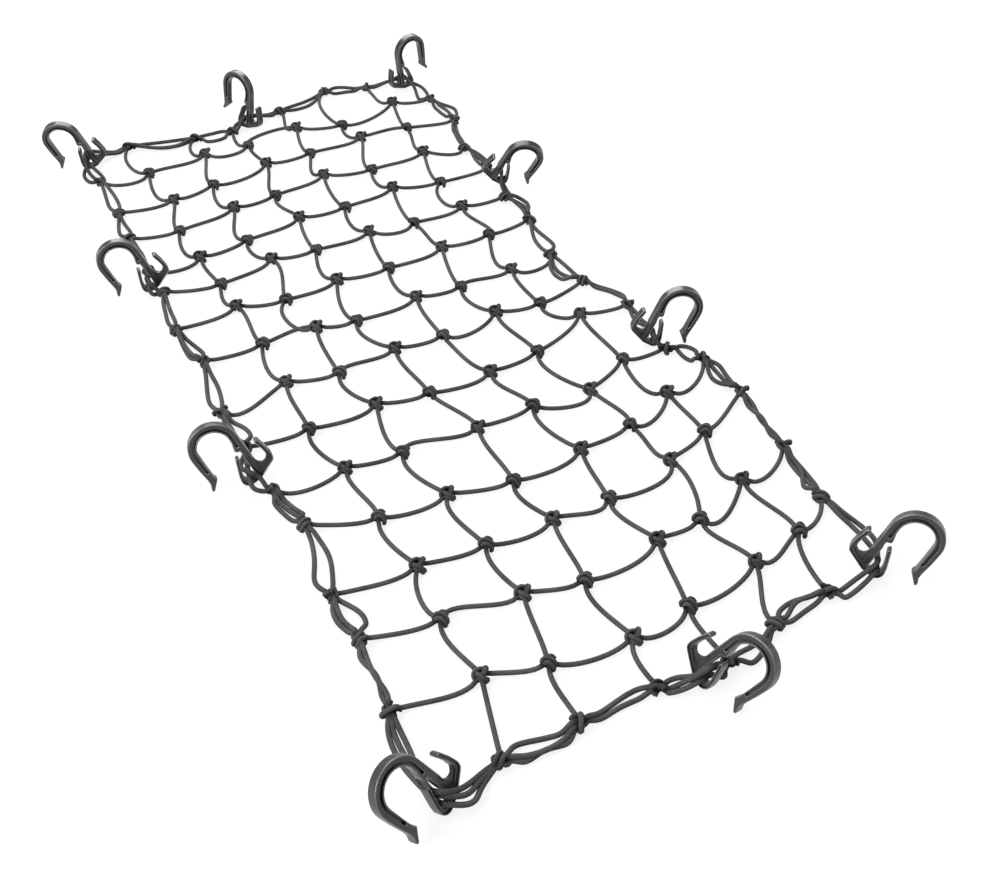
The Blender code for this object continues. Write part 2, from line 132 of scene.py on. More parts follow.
SOFT_LIGHTS = (
    # name, place, aim, size, power
    ("light_left", (-1.6, -0.3, 1.1), (0, -0.1, 0), 1.1, 48),
    ("light_back", (0.6, 1.7, 1.4), (0, 0, 0), 1.8, 70),
    ("light_right", (1.7, -0.9, 1.0), (0, 0, 0), 1.2, 16),
    ("light_above", (-0.2, 0.2, 1.9), (0, 0, 0), 1.5, 20),
)
for light_name, place, aim, size, power in SOFT_LIGHTS:
    light_data = bpy.data.lights.new(light_name, "AREA")
    light_data.shape = "SQUARE"
    light_data.size = size
    light_data.energy = power
    light = add_object(light_name, light_data)
    light.location = place
    light.rotation_euler = (Vector(aim) - Vector(place)).to_track_quat("-Z", "Y").to_euler()

# ---- Elastic cord ------------------------------------------------------------------------------
# Rubber strands in a braided sleeve of charcoal polyester. The sleeve shows as two sets of fine
# threads that wind round the cord in opposite directions, in slow patches of wear and dust.

MM = 0.001
NET_CORD_RADIUS = 1.75
BORDER_CORD_RADIUS = 1.85
CORD_SIDES = 9
SLEEVE_DARK = (0.012, 0.010, 0.010, 1)
SLEEVE_LIGHT = (0.098, 0.089, 0.091, 1)
SLEEVE_THREADS = 11
SLEEVE_PITCH = 0.0026
SLEEVE_ROUGHNESS = 0.82
SLEEVE_SHINE = 0.12
THREAD_RELIEF = {"strength": 0.7, "distance": 0.00025}
WEAR_SCALE = 55
WEAR_RANGE = (0.35, 0.65)
WEAR_TONES = (0.8, 1.2)
MOTTLE_DETAIL = 4


def new_group(name, inputs, output):
    """A shader group of values, and with it its inputs, its output and the places on a surface."""
    group = bpy.data.node_groups.new(name, "ShaderNodeTree")
    for socket, direction in [(value, "INPUT") for value in inputs] + [(output, "OUTPUT")]:
        group.interface.new_socket(name=socket, in_out=direction, socket_type="NodeSocketFloat")
    given = group.nodes.new("NodeGroupInput").outputs
    result = group.nodes.new("NodeGroupOutput").inputs[output]
    place = group.nodes.new("ShaderNodeTexCoord").outputs
    return group, given, result, place


def braid_group():
    """Threads of a braided sleeve, from UVs that hold turns round the cord and metres along it."""
    group, given, result, place = new_group("braided sleeve", ("Threads", "Pitch"), "Height")
    nodes, links = group.nodes, group.links
    split = nodes.new("ShaderNodeSeparateXYZ")
    links.new(place["UV"], split.inputs[0])

    def math_node(operation, *values):
        node = nodes.new("ShaderNodeMath")
        node.operation = operation
        for socket, value in zip(node.inputs, values):
            if isinstance(value, (int, float)):
                socket.default_value = value
            else:
                links.new(value, socket)
        return node.outputs[0]

    round_cord = math_node("MULTIPLY", split.outputs["X"], given["Threads"])
    along_cord = math_node("DIVIDE", split.outputs["Y"], given["Pitch"])
    waves = []
    for winding in ("ADD", "SUBTRACT"):
        phase = math_node(winding, round_cord, along_cord)
        waves.append(math_node("SINE", math_node("MULTIPLY", phase, 2 * math.pi)))
    over = math_node("MAXIMUM", *waves)
    links.new(math_node("MULTIPLY_ADD", over, 0.5, 0.5), result)
    return group


def mottle_group():
    """Slow patches of tone, from dust, wear or moulding, in object space."""
    group, given, result, place = new_group("mottle", ("Scale",), "Tone")
    noise = set_inputs(group.nodes.new("ShaderNodeTexNoise"), Detail=MOTTLE_DETAIL)
    group.links.new(place["Object"], noise.inputs["Vector"])
    group.links.new(given["Scale"], noise.inputs["Scale"])
    group.links.new(noise.outputs["Fac"], result)
    return group


sleeve_threads = braid_group()
mottle = mottle_group()


def add_group(nodes, group, **values):
    node = nodes.new("ShaderNodeGroup")
    node.node_tree = group
    return set_inputs(node, **values)


def add_mix(nodes, **colours):
    """A node that mixes two colours. Those that are given are set."""
    node = nodes.new("ShaderNodeMix")
    node.data_type = "RGBA"
    return set_inputs(node, **colours)


def add_attribute(nodes, name):
    """The value that a mesh holds under this name."""
    node = nodes.new("ShaderNodeAttribute")
    node.attribute_name = name
    return node.outputs["Fac"]


def add_scaling(nodes, links, colour, amount):
    """The colour made darker or paler by this amount."""
    node = nodes.new("ShaderNodeVectorMath")
    node.operation = "SCALE"
    links.new(colour, node.inputs[0])
    links.new(amount, node.inputs["Scale"])
    return node.outputs["Vector"]


def add_relief(nodes, links, shader, height, strength, distance):
    bump = set_inputs(nodes.new("ShaderNodeBump"), Strength=strength, Distance=distance)
    links.new(height, bump.inputs["Height"])
    links.new(bump.outputs["Normal"], shader.inputs["Normal"])


def sleeve_material(name, brightness):
    material, shader, nodes, links = new_material(
        name, Roughness=SLEEVE_ROUGHNESS, Specular_IOR_Level=SLEEVE_SHINE
    )
    braid = add_group(nodes, sleeve_threads, Threads=SLEEVE_THREADS, Pitch=SLEEVE_PITCH)
    wear_and_painted_highlight = add_group(nodes, mottle, Scale=WEAR_SCALE)
    threads = add_mix(nodes, A=SLEEVE_DARK, B=SLEEVE_LIGHT)
    links.new(braid.outputs["Height"], threads.inputs["Factor"])
    tone = nodes.new("ShaderNodeMapRange")
    set_inputs(tone, From_Min=WEAR_RANGE[0], From_Max=WEAR_RANGE[1])
    set_inputs(tone, To_Min=WEAR_TONES[0] * brightness, To_Max=WEAR_TONES[1] * brightness)
    links.new(wear_and_painted_highlight.outputs["Tone"], tone.inputs["Value"])
    toned = add_scaling(nodes, links, threads.outputs["Result"], tone.outputs["Result"])
    # Painted shade: the base colour darkened by the mesh's shade values.
    shaded = add_scaling(nodes, links, toned, add_attribute(nodes, "shade"))
    links.new(shaded, shader.inputs["Base Color"])
    add_relief(nodes, links, shader, braid.outputs["Height"], **THREAD_RELIEF)
    return material


net_sleeve = sleeve_material("net cord sleeve", 0.67)
border_sleeve = sleeve_material("border cord sleeve", 0.65)


def new_shape():
    """What a mesh of cords is made of. Its shades are painted shade, one a point, in creases and
    below.
    """
    return {"verts": [], "faces": [], "uvs": [], "shades": []}


def ramp(value, low, high):
    """How far the value has come from low to high."""
    return max(0.0, min(1.0, (value - low) / (high - low)))


# Painted shade on the cords: darker on their undersides, where they go into knots and in the
# creases between turns.
UNDERSIDE_SHADE = 0.5
UNDERSIDE = (-0.8, 0.5)  # from facing down to facing up
KNOT_MOUTH_SHADE = 0.25
KNOT_MOUTH = (3.5, 7.5)  # from the knot's middle
CREASE_SHADE = 0.1
CREASE = (0.0, 0.85)  # from facing along the knot to facing out of it
NEARLY_UPRIGHT = 0.1
CUT_END = (0.5, 0.0)  # a place on the sleeve, for the ends of a cord


def strand_shade(knots):
    """A strand is darker on its underside, and where it goes into a knot."""

    def shade(centre, outward):
        apart = min((Vector((centre.x, centre.y, 0)) - knot).length for knot in knots)
        under = UNDERSIDE_SHADE + (1 - UNDERSIDE_SHADE) * ramp(outward.z, *UNDERSIDE)
        return under * (KNOT_MOUTH_SHADE + (1 - KNOT_MOUTH_SHADE) * ramp(apart, *KNOT_MOUTH))

    return shade


def knot_shade(middle):
    """A turn of a knot is darker on the sides that face the others."""

    def shade(centre, outward):
        facing = outward.dot((centre - middle).normalized())
        return CREASE_SHADE + (1 - CREASE_SHADE) * ramp(facing, *CREASE)

    return shade


def add_cord(shape, centres, radius, sides, shade):
    """A round cord along these centres, and never lower than it can lie. Its UVs are turns round
    it and metres along it."""
    centres = [Vector((c.x, c.y, max(c.z, radius))) for c in centres]
    first = len(shape["verts"])
    direction = (centres[1] - centres[0]).normalized()
    side = direction.cross(Vector((0, 0, 1)))
    if side.length < NEARLY_UPRIGHT:
        side = direction.cross(Vector((0, 1, 0)))
    side.normalize()
    run = 0.0
    runs = []
    for i, centre in enumerate(centres):
        ahead = centres[min(i + 1, len(centres) - 1)] - centres[max(i - 1, 0)]
        ahead.normalize()
        side = (side - ahead * side.dot(ahead)).normalized()
        upward = ahead.cross(side)
        if i:
            run += (centre - centres[i - 1]).length * MM
        runs.append(run)
        for k in range(sides):
            angle = 2 * math.pi * k / sides
            offset = side * math.cos(angle) + upward * math.sin(angle)
            shape["verts"].append((centre + offset * radius) * MM)
            shape["shades"].append(shade(centre, offset))
    for i in range(len(centres) - 1):
        for k in range(sides):
            a = first + i * sides + k
            b = first + i * sides + (k + 1) % sides
            shape["faces"].append((a, b, b + sides, a + sides))
            u0, u1 = k / sides, (k + 1) / sides
            v0, v1 = runs[i], runs[i + 1]
            shape["uvs"] += [(u0, v0), (u1, v0), (u1, v1), (u0, v1)]
    last = first + (len(centres) - 1) * sides
    for cap in (range(first + sides - 1, first - 1, -1), range(last, last + sides)):
        shape["faces"].append(tuple(cap))
        shape["uvs"] += [CUT_END] * sides


def smooth_path(points, steps):
    """A smooth line through the points, with this many steps from one to the next."""
    points = [Vector(p) for p in points]
    ends = [2 * points[0] - points[1]] + points + [2 * points[-1] - points[-2]]
    path = []
    for before, here, there, after in zip(ends, ends[1:], ends[2:], ends[3:]):
        for i in range(steps):
            t = i / steps
            path.append(
                0.5
                * (
                    2 * here
                    + (there - before) * t
                    + (2 * before - 5 * here + 4 * there - after) * t**2
                    + (3 * here - before - 3 * there + after) * t**3
                )
            )
    return path + [points[-1]]


def shape_object(name, shape, material):
    mesh = bpy.data.meshes.new(name)
    mesh.from_pydata(shape["verts"], [], shape["faces"])
    layer = mesh.uv_layers.new(name="UVMap")
    layer.uv.foreach_set("vector", [value for uv in shape["uvs"] for value in uv])
    # The painted shade of the cords, one value a point.
    painted_shade = mesh.attributes.new("shade", "FLOAT", "POINT")
    painted_shade.data.foreach_set("value", shape["shades"])
    mesh.polygons.foreach_set("use_smooth", [True] * len(mesh.polygons))
    mesh.materials.append(material)
    return add_object(name, mesh)


# ---- Netting -----------------------------------------------------------------------------------
# One mesh of single cord, tied by hand with a knot at each crossing. It lies slack, so each strand
# sags a little between its knots, and the knots sit as lumps of two or three turns with a cut end.

LAY_X, LAY_Y = -6.1, -12.5  # where the frame's origin lies in the tables of knots and hooks
ROWS = (  # one row of knots each: its ends across the net, its middle along the net, slant and bow
    # left, right, y, slant, bow
    (-170, 201, 424, 1, -1),
    (-173, 197, 364, -4, 1),
    (-178, 196, 301, 7, 16),
    (-180, 179, 245, 0, 12),
    (-182, 179, 193, 0, 9),
    (-176, 168, 144, -6, 2),
    (-184, 168, 90, 0, -4),
    (-177, 155, 33, -4, -5),
    (-180, 159, -26, 4, -3),
    (-181, 173, -73, 0, -17),
    (-182, 181, -126, 8, -21),
    (-175, 186, -172, 6, -38),
    (-178, 187, -230, 14, -33),
    (-176, 175, -286, 3, -32),
    (-187, 178, -345, 4, -27),
    (-192, 158, -410, 5, -9),
)
COLUMN_SHARES = (0.0, 0.145, 0.29, 0.43, 0.575, 0.72, 0.86, 1.0)
STAGGER = (3.7, 3.5)
PULLED = (  # knots that the lay pulls off their row
    # row, column, dx, dy
    (0, 1, -12, 1), (0, 2, 2, -17), (0, 4, -3, -5), (0, 5, 4, 14), (0, 6, -4, -2),
    (1, 1, -3, -5), (1, 4, -1, 7), (1, 5, -3, -6), (1, 6, 9, 11),
    (2, 0, 4, 6), (2, 1, 1, -10), (2, 2, -3, -4), (2, 6, 5, 3), (2, 7, 2, -5),
    (3, 0, 2, 5), (3, 1, -1, -9), (3, 2, 0, -4), (3, 4, -1, 8), (3, 6, 6, 5),
    (4, 1, -3, -14), (4, 2, -1, -6), (4, 5, -2, 7),
    (5, 1, 2, -11),
    (6, 1, 3, 6), (6, 3, -4, 1), (6, 6, 6, 1),
    (7, 1, 6, 4), (7, 3, -6, -1), (7, 6, 0, -5),
    (8, 0, -6, -3), (8, 1, 0, 5), (8, 6, -1, -5),
    (9, 4, -2, -7), (9, 6, 3, 15),
    (10, 2, -1, 5), (10, 3, 5, -4), (10, 4, 9, 1), (10, 5, 0, -17),
    (11, 2, -5, 1), (11, 4, 3, -4), (11, 5, 5, -1), (11, 6, -4, -4),
    (12, 0, -6, -4), (12, 2, 4, 7), (12, 5, 3, -5),
    (13, 0, -7, -2), (13, 1, -1, 5), (13, 4, 7, -1), (13, 6, -4, 0),
    (14, 0, -2, -2), (14, 1, 3, 3), (14, 2, -1, 4), (14, 3, 0, -9), (14, 5, 4, -3), (14, 6, 4, 1),
    (14, 7, -14, 2),
    (15, 1, -5, 3), (15, 2, -1, 4), (15, 3, 6, 2),
)
HOOK_SIDE_KNOTS = (  # border knots that sit right beside a hook
    # row, column, x, y
    (0, 3, -21, 401),
    (4, 0, -178, 190),
    (4, 7, 180, 195),
    (9, 0, -184, -80),
    (10, 7, 167, -140),
    (15, 4, 16, -424),
)
LAST_ROW = len(ROWS) - 1
LAST_COLUMN = len(COLUMN_SHARES) - 1
SIDE_STEPS = {"right": (0, 1), "far": (-1, 0), "left": (0, -1), "near": (1, 0)}
KNOT_HEADINGS = (  # across the net from the straight line to the next knot, along the net from +X
    # kind, side, heading, drift
    ("even", "right", -1, -25),
    ("even", "far", 86, -20),
    ("even", "left", 5, 8),
    ("even", "near", 249, 0),
    ("odd", "right", -3, 8),
    ("odd", "far", 128, -36),
    ("odd", "left", 23, 8),
    ("odd", "near", 253, 0),
)
STRAND_TENSION = 0.85
PORT_GAP = 38  # least angle between two strands that leave a knot
PORT_ROUNDS = 12
SWUNG = {  # strands that leave their knots well off the common heading
    # row, column, at this knot, at the next knot to the right or the near side
    "across": (
        (1, 0, -45, 60), (1, 2, -40, 40), (1, 3, 50, -60), (1, 5, -50, 10),
        (2, 2, -40, 20), (2, 5, 30, -60),
        (3, 6, -10, 60),
        (4, 0, -40, 30),
        (5, 4, -30, 40),
        (7, 1, 20, -50), (7, 5, 40, -10), (7, 6, -60, 60),
        (8, 0, -50, -20), (8, 2, 40, -10), (8, 4, -40, 10),
        (10, 0, -40, 0), (10, 2, 60, -10), (10, 4, -20, 40),
        (11, 5, -40, 20), (11, 6, -60, 35),
        (12, 3, 0, 40), (12, 4, -10, 30),
        (13, 1, 60, -10), (13, 5, -50, 0), (13, 6, -60, 30),
        (14, 3, -40, 30), (14, 5, -50, 10), (14, 6, -10, 30),
    ),
    "along": (
        (0, 1, -40, 30), (0, 2, -60, 30), (0, 3, -20, 30), (0, 5, -40, 0),
        (1, 3, 20, -60),
        (2, 6, 20, -40),
        (3, 2, 0, 30), (3, 3, 0, -50),
        (4, 6, -30, 10),
        (5, 2, 30, -10), (5, 5, 40, -30), (5, 6, 0, -50),
        (6, 1, 30, 10), (6, 2, -30, 30), (6, 3, -10, 20),
        (8, 4, 30, 0), (8, 6, 10, 60),
        (9, 2, 0, 30), (9, 3, 40, -30),
        (10, 5, 30, -20), (10, 6, 10, 50),
        (11, 2, -20, 20), (11, 5, 40, 10),
        (12, 1, -30, 40), (12, 5, 30, -20), (12, 6, 0, 40),
        (13, 5, 20, -10),
        (14, 3, -30, 10), (14, 5, -10, 20), (14, 6, -30, 10),
    ),
}


def rows_of(table, *key):
    """The rest of each row of the table that starts with this key."""
    return [row[len(key) :] for row in table if row[: len(key)] == key]


def heading(degrees):
    angle = math.radians(degrees)
    return Vector((math.cos(angle), math.sin(angle), 0.0))


def angle_to(start, end):
    return math.degrees(math.atan2(end.y - start.y, end.x - start.x))


def knot_kind(row, column):
    return "odd" if (row + column) % 2 else "even"


def inside(row, column):
    return 0 < row < LAST_ROW and 0 < column < LAST_COLUMN


def knot_place(row, column):
    """Middle of a knot, on the floor."""
    left, right, middle, slant, bow = ROWS[row]
    across = 2 * column / LAST_COLUMN - 1
    x = left + (right - left) * COLUMN_SHARES[column]
    y = middle + slant * across + bow * (1 - across**2)
    if inside(row, column):
        sign = 1 if knot_kind(row, column) == "odd" else -1
        x += sign * STAGGER[0]
        y += sign * STAGGER[1]
    for dx, dy in rows_of(PULLED, row, column):
        x += dx
        y += dy
    for place in rows_of(HOOK_SIDE_KNOTS, row, column):
        x, y = place
    return Vector((x - LAY_X, y - LAY_Y, 0.0))


def swing(row, column, run, which):
    """How far the first or last end of a strand is swung off the common heading."""
    for ends in rows_of(SWUNG[run], row, column):
        return ends[which]
    return 0


def strand_heading(row, column, side):
    """Heading at which the strand on this side leaves the knot."""
    step_row, step_column = SIDE_STEPS[side]
    run = "across" if step_row == 0 else "along"
    first_row, first_column = min((row, column), (row + step_row, column + step_column))
    is_last = (first_row, first_column) != (row, column)
    swung = swing(first_row, first_column, run, is_last)
    straight = angle_to(knot_place(row, column), knot_place(row + step_row, column + step_column))
    if not inside(row, column):
        return straight + swung
    base, drift = rows_of(KNOT_HEADINGS, knot_kind(row, column), side)[0]
    along = 2 * row / LAST_ROW - 1
    return (straight if run == "across" else 0) + base + drift * along + swung


def spread(headings):
    """The same headings, pushed apart where two are closer than a knot has room for."""
    order = sorted(range(len(headings)), key=lambda i: headings[i] % 360)
    spaced = [headings[i] % 360 for i in order]
    count = len(spaced)
    for _ in range(PORT_ROUNDS):
        for i in range(count):
            j = (i + 1) % count
            lack = PORT_GAP - (spaced[j] - spaced[i]) % 360
            if 0 < lack < PORT_GAP:
                spaced[i] -= lack / 2
                spaced[j] += lack / 2
    result = [0.0] * count
    for place, i in enumerate(order):
        result[i] = spaced[place]
    return result


def knot_headings(row, column):
    return dict(zip(SIDE_STEPS, spread([strand_heading(row, column, side) for side in SIDE_STEPS])))


STRAND_LIE = NET_CORD_RADIUS  # height of a strand's middle where it lies
STRAND_STEPS = 12
STRAND_DROP = 0.6  # the lower, the sooner a strand is down
KNOT_REACH = 5.6
KNOT_EXIT_HEIGHT = 3.5
KNOT_HEART_HEIGHT = 4.6
RAISED_HEART_HEIGHT = 6.6  # where a strand comes out over the turns of an even knot
TUCK = ((1.2, 1.0), (3.4, 0.92))  # places inside a knot: from its middle, and share of its height


def tucked(knot, direction, heart):
    return [knot + direction * reach + Vector((0, 0, heart * share)) for reach, share in TUCK]


def strand_path(start, start_dir, start_heart, end, end_dir, end_heart):
    """A slack strand between two knots, tucked into both at these heights."""
    lift = Vector((0, 0, KNOT_EXIT_HEIGHT))
    leave = start + start_dir * KNOT_REACH + lift
    arrive = end + end_dir * KNOT_REACH + lift
    span = (arrive - leave).length * STRAND_TENSION
    path = tucked(start, start_dir, start_heart)
    for i in range(STRAND_STEPS + 1):
        t = i / STRAND_STEPS
        point = leave * (2 * t**3 - 3 * t**2 + 1) + start_dir * span * (t**3 - 2 * t**2 + t)
        point += arrive * (3 * t**2 - 2 * t**3) + end_dir * span * (t**2 - t**3)
        drop = math.sin(math.pi * t) ** STRAND_DROP
        point.z = KNOT_EXIT_HEIGHT * (1 - drop) + STRAND_LIE * drop
        path.append(point)
    return path + tucked(end, end_dir, end_heart)[::-1]


# Turns of cord in a knot as a viewer sees them who stands at the heading and slope of the view:
# to the right, up and towards the viewer, from the knot's middle.
KNOT_TURNS = {
    # thickness, then the places of each turn
    "even": (
        (1.0, (-4.0, 0.4, 0.8), (-4.4, 2.6, 2.2), (-2.2, 4.3, 1.8), (1.2, 4.5, 1.6),
         (4.2, 2.6, 2.4), (5.4, -0.2, 2.4), (4.4, -2.6, 0.8)),
        (1.0, (-3.0, 0.2, 2.8), (-1.4, 1.6, 3.8), (1.2, 1.4, 4.2), (3.4, -0.8, 3.8),
         (4.4, -3.2, 2.6), (3.8, -4.6, 0.8)),
        (1.1, (0.2, 4.2, -0.4), (1.6, 5.4, -0.4), (3.6, 4.8, -0.4), (4.8, 3.0, 0.0)),
    ),
    "odd": (
        (1.0, (2.0, 3.6, 0.4), (-0.8, 4.5, 0.8), (-3.9, 3.4, 1.8), (-5.2, 0.8, 2.4),
         (-4.6, -2.0, 2.2), (-2.6, -3.6, 1.4), (-0.4, -3.6, 0.4)),
        (1.0, (-3.4, 1.4, 2.2), (-1.8, 0.8, 3.8), (1.0, -0.6, 4.4), (3.6, -2.2, 3.8),
         (4.8, -3.6, 2.2), (4.0, -4.6, 0.4)),
        (1.0, (-2.4, -1.4, 2.4), (-0.6, -2.2, 3.8), (1.6, -3.6, 3.6), (3.4, -4.8, 2.4),
         (3.6, -5.4, 0.6)),
        (1.25, (1.6, 0.6, 3.4), (2.8, 2.8, 3.0), (3.6, 4.6, 1.2), (3.4, 4.6, -0.8)),
    ),
}
KNOT_MIDDLE = Vector((0, 0, 4.0))
KNOT_STEPS = 4
KNOT_SIDES = 8
KNOT_CORE = (3.6, 3.2, 2.7)
CORE_RINGS = 6
CORE_SIDES = 10
KNOT_SEED = 5
KNOT_TWIST = 10
KNOT_SIZES = (0.84, 0.96)
KNOT_SHAKE = 0.3
# The heart of a knot is painted dark as shade: its values are low and its place on the sleeve lies
# between two threads.
HEART_SHADE = 0.2
SHADED_THREADS = (0.75 / SLEEVE_THREADS, 0.0)  # a place on the sleeve between two threads
view_turn = (heading_turn @ pitch_turn).to_3x3()


def add_ball(shape, centre, radii, turn):
    """The heart of a knot, behind its turns, painted dark as shade."""
    rings, sides = CORE_RINGS, CORE_SIDES
    first = len(shape["verts"])
    for i in range(1, rings):
        lat = math.pi * i / rings
        for k in range(sides):
            lon = 2 * math.pi * k / sides
            around = (math.sin(lat) * math.cos(lon), math.sin(lat) * math.sin(lon), math.cos(lat))
            offset = Vector([a * r for a, r in zip(around, radii)])
            shape["verts"].append((centre + turn @ offset) * MM)
    top = len(shape["verts"])
    for end in (radii[2], -radii[2]):
        shape["verts"].append((centre + turn @ Vector((0, 0, end))) * MM)
    shape["shades"] += [HEART_SHADE] * (len(shape["verts"]) - first)
    low = first + (rings - 2) * sides
    for k in range(sides):
        after = (k + 1) % sides
        for i in range(rings - 2):
            a, b = first + i * sides + k, first + i * sides + after
            shape["faces"].append((a, a + sides, b + sides, b))
        shape["faces"] += [(top, first + k, first + after), (top + 1, low + after, low + k)]
        shape["uvs"] += [SHADED_THREADS] * (4 * (rings - 2) + 6)


def shaken(point, size, rng):
    """A point of a knot's turn at this size, a little off its place."""
    return point * size + Vector([rng.uniform(-KNOT_SHAKE, KNOT_SHAKE) for _ in range(3)])


def add_turn_of_knot(shape, points, radius, middle):
    add_cord(shape, smooth_path(points, KNOT_STEPS), radius, KNOT_SIDES, knot_shade(middle))


def add_knot(shape, place, kind, rng):
    twist = Matrix.Rotation(math.radians(rng.uniform(-KNOT_TWIST, KNOT_TWIST)), 3, "Z")
    turn = twist @ view_turn
    size = rng.uniform(*KNOT_SIZES)
    middle = place + KNOT_MIDDLE
    add_ball(shape, middle, KNOT_CORE, turn)
    for thickness, *turn_points in KNOT_TURNS[kind]:
        points = [middle + turn @ shaken(Vector(point), size, rng) for point in turn_points]
        add_turn_of_knot(shape, points, NET_CORD_RADIUS * thickness, middle)


netting_shape = new_shape()
headings = {
    (row, column): knot_headings(row, column)
    for row in range(1, LAST_ROW)
    for column in range(1, LAST_COLUMN)
}


def end_direction(row, column, side):
    """Direction in which the strand on this side leaves the knot."""
    if inside(row, column):
        return heading(headings[row, column][side])
    return heading(strand_heading(row, column, side))


def heart_height(row, column, side):
    """Height of a strand inside its knot."""
    raised = inside(row, column) and knot_kind(row, column) == "even" and side == "near"
    return RAISED_HEART_HEIGHT if raised else KNOT_HEART_HEIGHT


def add_strand(first, second, first_side, second_side):
    ends = []
    for knot, side in ((first, first_side), (second, second_side)):
        ends += [knot_place(*knot), end_direction(*knot, side), heart_height(*knot, side)]
    shade = strand_shade((ends[0], ends[3]))
    add_cord(netting_shape, strand_path(*ends), NET_CORD_RADIUS, CORD_SIDES, shade)


for row in range(1, LAST_ROW):
    for column in range(LAST_COLUMN):
        add_strand((row, column), (row, column + 1), "right", "left")
for column in range(1, LAST_COLUMN):
    for row in range(LAST_ROW):
        add_strand((row, column), (row + 1, column), "near", "far")
knot_rng = random.Random(KNOT_SEED)
for row in range(1, LAST_ROW):
    for column in range(1, LAST_COLUMN):
        add_knot(netting_shape, knot_place(row, column), knot_kind(row, column), knot_rng)

netting = shape_object("netting_cords", netting_shape, net_sleeve)
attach(netting, "root")
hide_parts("netting")

# ---- Hooks -------------------------------------------------------------------------------------
# Black plastic hooks, each moulded in one piece: a shank that bends over into an open crook with a
# chisel tip, and two arms at the foot that clip over the border. Both faces have a groove round the
# crook and sunk panels at the foot.

HOOK_WIDTH = 7.5
SHOULDER = 1.0  # how far the long edges are rounded over
SHOULDER_STEPS = 4
CROOK_CENTRE = (15.6, 37.3)
CROOK_OUTER = 18.9
CROOK_INNER = 12.3
SHANK_SLOPE = 69.0
GROOVE_RADIUS = 14.6
GROOVE_HALF = 1.05
GROOVE_DEPTH = 2.5
WEB_OUTLINE = ((-2.4, 3.4), (-2.4, 15.5), (-11.8, 15.5), (-12.6, 9.4), (-11.9, 7.0), (-4.4, 3.0))
WEB_DEPTH = 2.6  # of the thin web in the corner between the shank and the arm on the net's side
RIM = 0.95  # width of the rib left round the foot and its arms
POCKET_DEPTH = 1.6
MOUTH_EASE = 0.4
CUTTER_CLEAR = 0.2
NEARLY_STRAIGHT = 0.02
EASED_FROM, EASED_TO = 0.3, 0.97  # how far a face turns to the side, on an eased edge
FOOT_TOP = 18.4
PLASTIC_DARK = (0.015, 0.015, 0.016, 1)
PLASTIC_PALE = (0.030, 0.029, 0.031, 1)
# Pale colour of the eased edges: a painted highlight, where the soft lights glint on them.
PLASTIC_PAINTED_HIGHLIGHT = (0.095, 0.093, 0.097, 1)
PLASTIC_ROUGHNESS = (0.24, 0.36)
PLASTIC_IOR = 1.5
HANDLING_SCALE = 140
GRAIN_SCALE = 1800
GRAIN_RELIEF = {"strength": 0.12, "distance": 0.0001}
HOOKS = (
    # side, after knot, x, y, heading, tip up, lean
    ("left", 4, -177, 163, 173, 1, -5),
    ("left", 9, -185, -116, 170, 0, -17),
    ("left", 14, -183, -421, 204, 2, -30),
    ("near", 3, -8, -421, 283.5, -3, 24),
    ("near", 6, 144, -406, 310, 1, 17),
    ("right", 10, 156, -122, 335.5, -2, 4),
    ("right", 5, 173, 170, 332.4, -6, -15),
    ("right", 1, 186, 409, 371, 28, -4.5),
    ("far", 4, 1, 407, 478, 28, -4),
    ("far", 1, -167, 404, 517, 2, 7),
)


def arc(centre, radius, first, last, steps):
    points = []
    for i in range(steps + 1):
        angle = math.radians(first + (last - first) * i / steps)
        points.append((centre[0] + radius * math.cos(angle), centre[1] + radius * math.sin(angle)))
    return points


def hook_outline(foot_only=False):
    """Outline of the moulding: across the shank and up it, counter-clockwise from the foot."""
    far_arm = [
        (8.6, -3.9), (11.0, -3.4), (12.9, -1.9), (14.1, 0.2), (14.4, 2.6), (13.4, 7.2), (8.8, 19.8),
        (7.9, 20.9), (6.6, 20.7),
    ]
    far_slot = [
        (6.0, 19.6), (5.9, 18.6), (8.6, 12.4), (10.6, 6.4), (10.9, 3.6), (10.0, 1.4), (8.4, 0.4),
        (6.4, 0.1), (4.2, 0.5), (2.3, 2.2),
    ]
    tooth = [
        (2.3, 19.0), (1.7, 22.4), (2.0, 24.6), (4.4, 25.2), (5.2, 26.8), (4.6, 29.5), (3.5, 33.5),
    ]
    inner_turn = arc(CROOK_CENTRE, CROOK_INNER, 180, 0, steps=26)
    leg_inside = [(28.2, 28.0), (28.3, 18.2), (27.2, 15.1)]
    tip = [(34.0, 7.8), (35.4, 8.6), (35.3, 10.4), (33.6, 13.8)]
    leg_outside = [(33.5, 18.0), (34.3, 28.0)]
    outer_turn = arc(CROOK_CENTRE, CROOK_OUTER, 0, 180, steps=34)
    eye = [
        (-3.1, 14.0), (-3.3, 11.4), (-4.1, 9.4), (-5.6, 7.9), (-7.4, 7.2), (-9.2, 7.6),
        (-10.9, 8.9), (-12.0, 10.8), (-12.4, 13.2),
    ]
    near_tip = [(-12.1, 16.4), (-10.9, 21.5), (-10.2, 24.8), (-11.6, 26.2), (-13.6, 24.8)]
    near_arm = [(-15.3, 17.0), (-16.0, 10.4), (-15.8, 7.6), (-14.8, 5.2), (-12.8, 3.8), (0.0, -2.6)]
    upper = tooth + inner_turn + leg_inside + tip + leg_outside + outer_turn
    if foot_only:
        upper = [(2.3, FOOT_TOP), (-3.1, FOOT_TOP)]
    return far_arm + far_slot + upper + eye + near_tip + near_arm


